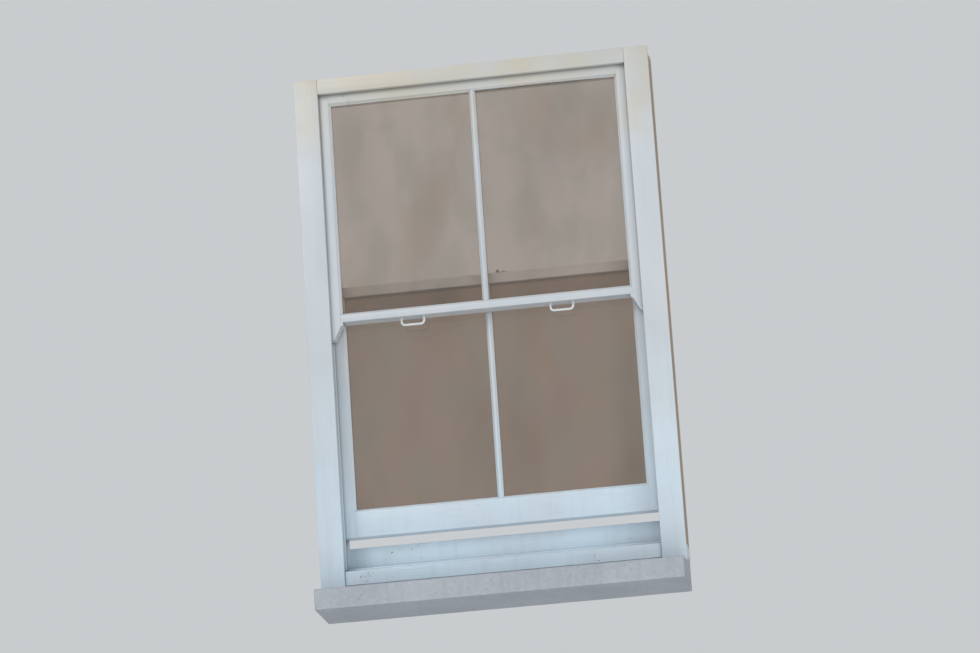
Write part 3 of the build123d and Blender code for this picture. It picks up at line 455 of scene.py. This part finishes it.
# Bare timber. The head board, the back linings and the dividers don't show once the window is built
# in, so they are unpainted pine that has gone brown and grey with age, dry and matt, with its
# growth rings showing as long curved bands.
pine_pale = linear("B09775")
pine_ring = linear("8A6E4E")
pine_grey = linear("94887A")
ring_mm = 9.0  # growth rings of 3 mm, cut at a slant and so spread over the face of the board
ring_strength = 0.7
ring_sway = (0.05, 0.05, 0.05)
ring_sway_scale = 9.0
wave_repeat = math.pi / 10  # metres from one band of a wave texture to the next, at a scale of 1
fibre_mm = 1.6
fibre_depth = 0.0005
grain_length = 20.0


def aged_pine(name, along):
    """Bare pine with growth rings drawn out along the board."""
    material, tree, place = start_finish(name)
    grain = add_node(tree, "ShaderNodeMapping",
                     {"Vector": place, "Scale": tuple(1 / length for length in along)})
    warp = add_node(tree, "ShaderNodeTexNoise",
                    {"Vector": grain, "Scale": ring_sway_scale, "Detail": 2.0})
    warp = add_node(tree, "ShaderNodeVectorMath",
                    {0: warp.outputs["Color"], 1: ring_sway, 2: grain}, operation="MULTIPLY_ADD")
    rings = add_node(tree, "ShaderNodeTexWave",
                     {"Vector": warp, "Scale": 1000 * wave_repeat / ring_mm, "Distortion": 1.5,
                      "Detail": 2.0, "Detail Scale": 1.5},
                     wave_type="BANDS", bands_direction="DIAGONAL", wave_profile="SAW")
    rings = add_node(tree, "ShaderNodeMapRange",
                     {"Value": rings.outputs["Fac"], "To Max": ring_strength})
    colour = add_node(tree, "ShaderNodeMix", {0: rings, under: pine_pale, over: pine_ring},
                      data_type="RGBA").outputs[laid]
    colour = stained(tree, place, colour, pine_grey, size_mm=300, spread=(0.35, 0.7), strength=0.7)
    colour = stained(tree, place, colour, pine_ring, size_mm=fibre_mm, spread=(0.3, 0.7),
                     strength=0.3, run=along)
    fibre = add_node(tree, "ShaderNodeTexNoise",
                     {"Vector": grain, "Scale": 1000 / fibre_mm, "Detail": 2.0})
    bump = add_node(tree, "ShaderNodeBump",
                    {"Height": fibre, "Distance": fibre_depth, "Strength": 0.6})
    close_finish(tree, {"Base Color": colour, "Roughness": 0.75, "IOR": 1.5, "Normal": bump})
    return material


pine_upright = aged_pine("aged_pine_upright", (1.0, 1.0, grain_length))
pine_level = aged_pine("aged_pine_level", (grain_length, 1.0, 1.0))
planed("head_board", pine_level, 1.0)
for board in ("back_lining_left", "back_lining_right", "weight_dividers"):
    planed(board, pine_upright, 0.6)

# Glue blocks. Three-cornered offcuts of the same pine, rubbed with hot glue into the corners
# between the head board and the two head linings.
block_length = 0.060
block_leg = 0.016
block_arris = 0.0008
block_places = (-0.45, -0.15, 0.15, 0.45)
head_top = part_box("head_board")[1].z
lining_faces = ((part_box("outer_lining_head")[1].y, 1), (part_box("inner_lining_head")[0].y, -1))
for count, x in enumerate(block_places):
    for (face, inward), lining in zip(lining_faces, ("outer", "inner")):
        centre = (x, face + inward * block_leg / 2, head_top + block_leg / 2)
        bpy.ops.object.select_all(action="DESELECT")
        bpy.ops.mesh.primitive_cube_add(size=1.0, location=centre,
                                        scale=(block_length, block_leg, block_leg))
        glue_block = bpy.context.object
        glue_block.name = f"glue_block_{lining}_{count + 1}"
        bpy.ops.object.transform_apply(location=True, rotation=True, scale=True)
        bpy.ops.object.mode_set(mode="EDIT")
        bpy.ops.mesh.select_all(action="SELECT")
        bpy.ops.mesh.bisect(plane_co=centre, plane_no=(0, inward, 1), use_fill=True,
                            clear_outer=True)
        bpy.ops.object.mode_set(mode="OBJECT")
        apply_modifier(glue_block, "BEVEL", width=block_arris, segments=2)
        glue_block.data.materials.append(pine_level)
        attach(glue_block, "frame")

# Nails. Round wire nails with flat heads, brown with rust, driven through the back linings into the
# edges of the boxes' other boards.
nail_radius = 0.002
nail_sides = 20
nail_thickness = 0.0008
nail_sunk = 0.0001
nail_edge = 0.0002
nail_inset = 0.007
nail_end = 0.060
nails_down = 9
nail_dark = linear("4A4038")
nail_rust = linear("6E4A33")
head_turn = 1.3  # radians from one head to the next, so that no two screws' slots lie alike


def driven(pattern, name, places, material, body):
    """Copies a nail or screw head to each place and outward direction, as one piece on a body."""
    heads = []
    for count, (place, outward) in enumerate(places):
        head = bpy.data.objects.new(name, pattern.data.copy())
        bpy.context.scene.collection.objects.link(head)
        facing = Vector(outward).to_track_quat("Z", "Y").to_matrix().to_4x4()
        turned = facing @ Matrix.Rotation(head_turn * count, 4, "Z")
        head.data.transform(Matrix.Translation(place) @ turned)
        heads.append(head)
    select_only(heads[0])
    for head in heads:
        head.select_set(True)
    bpy.ops.object.join()
    piece = bpy.context.object
    bpy.ops.object.shade_smooth_by_angle(angle=sharp_edge)
    piece.data.materials.append(material)
    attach(piece, body)


bpy.ops.object.select_all(action="DESELECT")
bpy.ops.mesh.primitive_cylinder_add(vertices=nail_sides, radius=nail_radius, depth=nail_thickness,
                                    location=(0, 0, -nail_sunk))
wire_nail = bpy.context.object
bpy.ops.object.transform_apply(location=True, rotation=True, scale=True)
apply_modifier(wire_nail, "BEVEL", width=nail_edge, segments=2, limit_method="ANGLE",
               angle_limit=sharp_edge)
nail_iron, tree, place = start_finish("rusty_wire_nail_iron")
colour = stained(tree, place, nail_dark, nail_rust, size_mm=3, spread=(0.4, 0.6), strength=0.8)
close_finish(tree, {"Base Color": colour, "Metallic": 0.5, "Roughness": 0.6})
for side, outward in (("left", -1), ("right", 1)):
    low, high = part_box(f"back_lining_{side}")
    face = high.x if outward > 0 else low.x
    spacing = (high.z - low.z - 2 * nail_end) / (nails_down - 1)
    places = [((face, y, low.z + nail_end + step * spacing), (outward, 0, 0))
              for step in range(nails_down) for y in (low.y + nail_inset, high.y - nail_inset)]
    driven(wire_nail, f"lining_nails_{side}", places, nail_iron, "frame")
bpy.data.objects.remove(wire_nail)

# Brass. Cast and turned brass fittings, lacquer long gone, so the metal is dull and brown in its
# corners and brighter where hands and cords rub it.
brass_bright = linear("BBA478")
brass_dull = linear("85724F")
brass_brown = linear("4A3B26")
pore_mm = 1.2  # casting pores are finer still, drawn coarser so that they show
pore_depth = 0.0001
rub_mm = 12.0
rub_range = (0.3, 0.6)
cast_edge = math.radians(50)
cast_smooth = math.radians(32)
brass, tree, place = start_finish("tarnished_cast_brass")
colour = stained(tree, place, brass_bright, brass_dull, size_mm=16, spread=(0.38, 0.62),
                 strength=0.7, detail=4.0)
colour = stained(tree, place, colour, brass_brown, size_mm=5, spread=(0.58, 0.7), strength=0.5,
                 detail=4.0)
colour = grime_and_painted_shade(tree, colour, brass_brown, reach_mm=5, strength=0.8)
pores = add_node(tree, "ShaderNodeTexNoise",
                 {"Vector": place, "Scale": 1000 / pore_mm, "Detail": 3.0})
bump = add_node(tree, "ShaderNodeBump", {"Height": pores, "Distance": pore_depth, "Strength": 0.5})
rub = add_node(tree, "ShaderNodeTexNoise",
               {"Vector": place, "Scale": 1000 / rub_mm, "Detail": 3.0})
rub = add_node(tree, "ShaderNodeMapRange",
               {"Value": rub, "To Min": rub_range[0], "To Max": rub_range[1]})
close_finish(tree, {"Base Color": colour, "Metallic": 1.0, "Roughness": rub, "Normal": bump})


def metal(node, material, arris_mm):
    """Puts a metal piece in a CAD node's place, with its edges broken."""
    piece = merged_copy(node, f"{node}_cast", join_flats=False)
    apply_modifier(piece, "BEVEL", width=arris_mm / 1000, segments=2, limit_method="ANGLE",
                   angle_limit=cast_edge)
    bpy.ops.object.shade_smooth_by_angle(angle=cast_smooth)
    stand_for(piece, node, material)


# Pulleys. Four axle pulleys let into the stiles: each has a brass faceplate and case, and a turned
# brass wheel with a groove for the cord.
for track in ("upper", "lower"):
    for side in ("left", "right"):
        metal(f"pulley_case_{track}_{side}", brass, 0.3)
        metal(f"pulley_wheel_{track}_{side}", brass, 0.3)

# Screws. Countersunk slotted brass screws in the pulleys' faceplates, the pocket covers and the
# beads of the room side. Each stands a hair proud of its plate.
screw_sides = 24
head_thickness = 0.0010
head_sunk = 0.0002
head_edge = head_thickness / 8
slot_floor = 0.0001
slot_share = 0.22
saw_reach = 3
plate_screw_radius = 0.0032
bead_screw_radius = 0.0023
plate_screw_reach = 0.049
pocket_screw_inset = 0.020
side_screw_heights = (0.36, 0.78, 1.20, 1.62)
head_screw_places = (-0.38, 0.0, 0.38)
draught_screw_places = (-0.46, -0.15, 0.15, 0.46)


def slotted_screw(head_radius):
    """A screw head that faces +Z at the origin, with its slot sawn across."""
    bpy.ops.object.select_all(action="DESELECT")
    bpy.ops.mesh.primitive_cylinder_add(vertices=screw_sides, radius=head_radius,
                                        depth=head_thickness, location=(0, 0, -head_sunk))
    screw = bpy.context.object
    bpy.ops.object.transform_apply(location=True, rotation=True, scale=True)
    blade = (saw_reach * head_radius, slot_share * head_radius, head_thickness)
    bpy.ops.mesh.primitive_cube_add(size=1.0, location=(0, 0, head_thickness / 2 - slot_floor),
                                    scale=blade)
    saw = bpy.context.object
    bpy.ops.object.transform_apply(location=True, rotation=True, scale=True)
    apply_modifier(screw, "BOOLEAN", object=saw, operation="DIFFERENCE", solver="EXACT")
    bpy.data.objects.remove(saw)
    apply_modifier(screw, "BEVEL", width=head_edge, segments=2, limit_method="ANGLE",
                   angle_limit=sharp_edge)
    return screw


def middle(node):
    """The middle of a CAD node's box."""
    low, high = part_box(node)
    return (Vector(low) + Vector(high)) / 2


plate_screw = slotted_screw(plate_screw_radius)
tracks = {sash: middle(f"{sash}_stile_right").y for sash in ("upper", "lower")}
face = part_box("pulley_case_upper_right")[0].x
height = middle("pulley_case_upper_right").z
places = [((side * face, y, height + end * plate_screw_reach), (-side, 0, 0))
          for side in (-1, 1) for y in tracks.values() for end in (-1, 1)]
driven(plate_screw, "pulley_screws", places, brass, "frame")
low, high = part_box("pocket_cover_right")
places = [((side * low.x, tracks["lower"], z), (-side, 0, 0))
          for side in (-1, 1) for z in (low.z + pocket_screw_inset, high.z - pocket_screw_inset)]
driven(plate_screw, "pocket_screws", places, brass, "frame")
bead_screw = slotted_screw(bead_screw_radius)
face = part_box("staff_bead_right")[1].y
places = [(middle(f"staff_bead_{side}").x, z)
          for side in ("left", "right") for z in side_screw_heights]
places += [(x, middle("staff_bead_head").z) for x in head_screw_places]
places += [(x, middle("draught_bead").z) for x in draught_screw_places]
places = [((x, face, z), (0, 1, 0)) for x, z in places]
driven(bead_screw, "bead_screws", places, brass, "frame")

# Weights. Iron cylinders cast in sand, matt, rough and brown with old rust. Each hangs in its box
# on a cord, whose knot is caught in the mouth of its neck.
iron_dark = linear("3B3734")
iron_rust = linear("6B4630")
mould_sand_mm = 2.5
mould_sand_depth = 0.0006
iron, tree, place = start_finish("rusty_cast_iron")
colour = stained(tree, place, iron_dark, iron_rust, size_mm=30, spread=(0.42, 0.62), strength=0.8,
                 detail=6.0)
sand = add_node(tree, "ShaderNodeTexNoise",
                {"Vector": place, "Scale": 1000 / mould_sand_mm, "Detail": 5.0})
bump = add_node(tree, "ShaderNodeBump",
                {"Height": sand, "Distance": mould_sand_depth, "Strength": 0.8})
close_finish(tree, {"Base Color": colour, "Metallic": 0.4, "Roughness": 0.72, "Normal": bump})
for track in ("upper", "lower"):
    for side in ("left", "right"):
        metal(f"weight_{track}_{side}", iron, 0.5)

# Sashes. Painted softwood frames of two stiles with tenoned rails and one glazing bar; the upper
# one's stiles run on below its meeting rail as horns.
for sash in ("upper", "lower"):
    for side in ("left", "right"):
        planed(f"{sash}_stile_{side}", paint_upright)
    planed(f"{sash}_meeting_rail", paint_level)
    planed(f"{sash}_glazing_bar", paint_upright, 0.8)
planed("upper_top_rail", paint_level)
planed("lower_bottom_rail", paint_worn)

# Putty. Linseed putty pressed into the rebates round the panes, struck off at a slope with a knife
# and painted with the sash once it had skinned over.
for sash in ("upper", "lower"):
    putty = merged_copy(f"{sash}_putty", f"{sash}_putty_struck", join_flats=False)
    stand_for(putty, f"{sash}_putty", paint_level)

# Glass. Drawn sheet glass, 4 mm thick and faintly wavy, tinted brown grey as painted shade of a
# dark room behind it. The lower sash's panes are tinted darker.
wave_mm = 130.0
wave_height = 0.004
wave_run = (1.0, 1.0, 0.45)
film_mm = 260.0
green_smear_mm = 120.0
warm_smear_mm = 168.0
clearness = 0.94
upper_tint_as_room_shade = linear("C6B9AF")
upper_film = linear("A69B92")
lower_tint_as_room_shade = linear("A79588")
lower_film = linear("877667")
smear_green = linear("959A8C")
smear_warm = linear("B09376")


def drawn_glass(name, cast, film):
    """Drawn sheet glass tinted as painted shade of a dark room, under an uneven film of dirt."""
    material, tree, place = start_finish(name)
    colour = stained(tree, place, cast, film, size_mm=film_mm, spread=(0.4, 0.75), strength=0.6,
                     run=(1.0, 1.0, 2.5))
    colour = stained(tree, place, colour, smear_green, size_mm=green_smear_mm, spread=(0.45, 0.75),
                     strength=0.35, run=(1.0, 1.0, 2.0))
    colour = stained(tree, place, colour, smear_warm, size_mm=warm_smear_mm, spread=(0.5, 0.75),
                     strength=0.35, run=(1.0, 1.0, 1.8))
    along = add_node(tree, "ShaderNodeMapping", {"Vector": place, "Scale": wave_run})
    ripple = add_node(tree, "ShaderNodeTexNoise",
                      {"Vector": along, "Scale": 1000 / wave_mm, "Detail": 1.0})
    bump = add_node(tree, "ShaderNodeBump",
                    {"Height": ripple, "Distance": wave_height, "Strength": 0.25})
    close_finish(tree, {"Base Color": colour, "Roughness": 0.02, "IOR": 1.52,
                        "Transmission Weight": clearness, "Normal": bump})
    return material


for sash, cast, film in (("upper", upper_tint_as_room_shade, upper_film), ("lower", lower_tint_as_room_shade, lower_film)):
    glass = drawn_glass(f"drawn_sheet_glass_{sash}", cast, film)
    for side in ("left", "right"):
        pane = merged_copy(f"{sash}_pane_{side}", f"{sash}_pane_{side}_cut")
        pane.visible_shadow = False
        stand_for(pane, f"{sash}_pane_{side}", glass)

# D handles. Iron rods bent to a D with a round foot at each end, dipped in white stove enamel that
# is smooth and shiny, a little rippled, and grey where fingers have worn it.
enamel_white = linear("D3D6D6")
enamel_worn = linear("A9ABA6")
ripple_mm = 4.0
ripple_depth = 0.0003
enamel, tree, place = start_finish("white_stove_enamel")
colour = stained(tree, place, enamel_white, enamel_worn, size_mm=10, spread=(0.55, 0.75),
                 strength=0.5, detail=4.0)
# Painted shade: grey darkens the enamel at the feet and inside the bow, found by occlusion.
colour = grime_and_painted_shade(tree, colour, paint_grime_and_shade, reach_mm=8, strength=0.7)
peel = add_node(tree, "ShaderNodeTexNoise",
                {"Vector": place, "Scale": 1000 / ripple_mm, "Detail": 1.0})
bump = add_node(tree, "ShaderNodeBump",
                {"Height": peel, "Distance": ripple_depth, "Strength": 0.4})
close_finish(tree, {"Base Color": colour, "Roughness": 0.25, "IOR": 1.5, "Normal": bump})
metal("upper_pull_handles", enamel, 0.5)
metal("lower_lift_handles", enamel, 0.5)
foot_screw_radius = 0.0016
foot_screw_reach = 0.0064
foot_thickness = 0.003
foot_places = (-0.297, -0.219, 0.219, 0.297)
foot_screw = slotted_screw(foot_screw_radius)
pull_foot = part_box("upper_pull_handles")[1].z - foot_thickness
lift_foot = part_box("lower_lift_handles")[0].y + foot_thickness
lift_height = middle("lower_lift_handles").z
screw_steps = [(x, step) for x in foot_places for step in (-foot_screw_reach, foot_screw_reach)]
driven(foot_screw, "pull_handle_screws",
       [((x + step, tracks["upper"], pull_foot), (0, 0, -1)) for x, step in screw_steps],
       enamel, "upper_sash")
driven(foot_screw, "lift_handle_screws",
       [((x, lift_foot, lift_height + step), (0, 1, 0)) for x, step in screw_steps],
       enamel, "lower_sash")

# Sash fastener. A cast brass lever turns on a post on the lower meeting rail and hooks into a
# keeper on the upper one. Base and keeper are screwed down.
metal("fastener_base", brass, 0.4)
metal("fastener_lever", brass, 0.6)
metal("fastener_keeper", brass, 0.4)
for node, screws, thickness, screw_reach, body in (
    ("fastener_base", "fastener_screws", 0.003, 0.021, "lower_sash"),
    ("fastener_keeper", "keeper_screws", 0.0025, 0.014, "upper_sash"),
):
    plate = middle(node)
    plate_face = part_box(node)[0].z + thickness
    driven(plate_screw, screws,
           [((plate.x + end * screw_reach, plate.y, plate_face), (0, 0, 1)) for end in (-1, 1)],
           brass, body)
for pattern in (plate_screw, bead_screw, foot_screw):
    bpy.data.objects.remove(pattern)

# Sash cords. Plaited cotton cord, 6 mm thick, grey cream and matt, knotted in the edge of a sash,
# led over its pulley wheel and knotted in the mouth of a weight.
cord_radius = 0.003
strand_count = 8
strand_dip = 0.86
strand_lay = 0.024
strand_smooth = math.radians(60)
rings_to_a_turn = 12
rings_over_wheel = 18
plait_mm = 3.0
plait_slant = math.radians(45)
plait_depth = 0.0006
knot_voxel = 0.0006
knot_turn_radius = 0.0031
knot_cord_radius = 0.0025
knot_cross = (math.radians(70), math.radians(25), 0)
sash_knot_drop = 0.250
weight_knot_drop = 0.0173
cotton_light = linear("C9BFA8")
cotton_dark_and_groove_shade = linear("8F8672")
cotton, tree, place = start_finish("plaited_cotton_cord")
strands = []
for slant in (plait_slant, -plait_slant):
    lay = add_node(tree, "ShaderNodeMapping",
                   {"Vector": place, "Rotation": (plait_slant, slant, 0)})
    strand = add_node(tree, "ShaderNodeTexWave",
                      {"Vector": lay, "Scale": 1000 * wave_repeat / plait_mm},
                      wave_type="BANDS", bands_direction="Z")
    strands.append(strand.outputs["Fac"])
plait = add_node(tree, "ShaderNodeMath", {0: strands[0], 1: strands[1]}, operation="MULTIPLY")
# Painted shade: the grooves between the plaited strands are coloured darker than their crowns.
colour = add_node(tree, "ShaderNodeMix", {0: plait, under: cotton_dark_and_groove_shade, over: cotton_light},
                  data_type="RGBA").outputs[laid]
colour = stained(tree, place, colour, cotton_dark_and_groove_shade, size_mm=40, spread=(0.45, 0.7), strength=0.5)
bump = add_node(tree, "ShaderNodeBump",
                {"Height": plait, "Distance": plait_depth, "Strength": 0.9})
close_finish(tree, {"Base Color": colour, "Roughness": 0.9, "IOR": 1.45, "Normal": bump})


def cord_section(place):
    """The cord's ring of strands, level at a place, with its mesh open for shaping."""
    bpy.ops.object.select_all(action="DESELECT")
    bpy.ops.mesh.primitive_circle_add(vertices=2 * strand_count, radius=cord_radius, location=place)
    bpy.ops.object.mode_set(mode="EDIT")
    bpy.ops.mesh.select_all(action="DESELECT")
    bpy.ops.object.mode_set(mode="OBJECT")
    for point in bpy.context.object.data.vertices:
        point.select = point.index % 2 == 0
    bpy.ops.object.mode_set(mode="EDIT")
    bpy.ops.transform.resize(value=(strand_dip, strand_dip, 1.0), center_override=place)
    bpy.ops.mesh.select_all(action="SELECT")


def cord_piece(name, node):
    """Closes the mesh just shaped and makes it one part of a cord, in a CAD node's place."""
    bpy.ops.object.mode_set(mode="EDIT")
    bpy.ops.mesh.select_all(action="SELECT")
    bpy.ops.mesh.remove_doubles(threshold=merge_gap)
    bpy.ops.mesh.fill_holes(sides=0)
    bpy.ops.mesh.normals_make_consistent(inside=False)
    bpy.ops.object.mode_set(mode="OBJECT")
    bpy.ops.object.transform_apply(location=True, rotation=True, scale=True)
    bpy.ops.object.shade_smooth_by_angle(angle=strand_smooth)
    piece = bpy.context.object
    piece.name = name
    piece.data.materials.append(cotton)
    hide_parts(node)
    return piece


def cord_run(name, node, start, top):
    """A straight run from a knot up to the pulley."""
    cord_section(start)
    bpy.ops.object.mode_set(mode="OBJECT")
    turns = round((top - start[2]) / strand_lay)
    apply_modifier(bpy.context.object, "SCREW", axis="Z", iterations=turns, angle=2 * math.pi,
                   screw_offset=(top - start[2]) / turns, steps=rings_to_a_turn,
                   render_steps=rings_to_a_turn)
    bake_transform(cord_piece(name, node))


def cord_knot(name, node, place, body):
    """An overhand knot drawn tight: two crossed turns of the cord grown together."""
    bpy.ops.object.select_all(action="DESELECT")
    bpy.ops.mesh.primitive_torus_add(major_radius=knot_turn_radius, minor_radius=knot_cord_radius,
                                     location=place)
    turn = bpy.context.object
    bpy.ops.mesh.primitive_torus_add(major_radius=knot_turn_radius, minor_radius=knot_cord_radius,
                                     location=place, rotation=knot_cross)
    turn.select_set(True)
    bpy.ops.object.join()
    apply_modifier(bpy.context.object, "REMESH", mode="VOXEL", voxel_size=knot_voxel,
                   use_smooth_shade=True)
    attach(cord_piece(name, node), body)


for sash in ("upper", "lower"):
    for side, outward in (("left", -1), ("right", 1)):
        node = f"cord_{sash}_{side}"
        wheel = middle(f"pulley_wheel_{sash}_{side}")
        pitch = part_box(node)[1].z - cord_radius - wheel.z
        sash_x, weight_x = wheel.x - outward * pitch, wheel.x + outward * pitch
        sash_knot_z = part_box(f"{sash}_stile_{side}")[1].z - sash_knot_drop
        weight_knot_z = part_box(f"weight_{sash}_{side}")[1].z - weight_knot_drop
        sash_knot = (sash_x, wheel.y, sash_knot_z)
        weight_knot = (weight_x, wheel.y, weight_knot_z)
        weight_body = f"{sash}_{side}_weight"
        cord_run(f"{node}_sash_run", node, sash_knot, wheel.z)
        cord_run(f"{node}_weight_run", node, weight_knot, wheel.z)
        cord_section((sash_x, wheel.y, wheel.z))
        bpy.ops.mesh.spin(steps=rings_over_wheel, angle=math.pi, center=wheel,
                          axis=(0, -outward, 0))
        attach(cord_piece(f"{node}_over_wheel", node), "frame")
        cord_knot(f"{node}_sash_knot", node, sash_knot, f"{sash}_sash")
        cord_knot(f"{node}_weight_knot", node, weight_knot, weight_body)
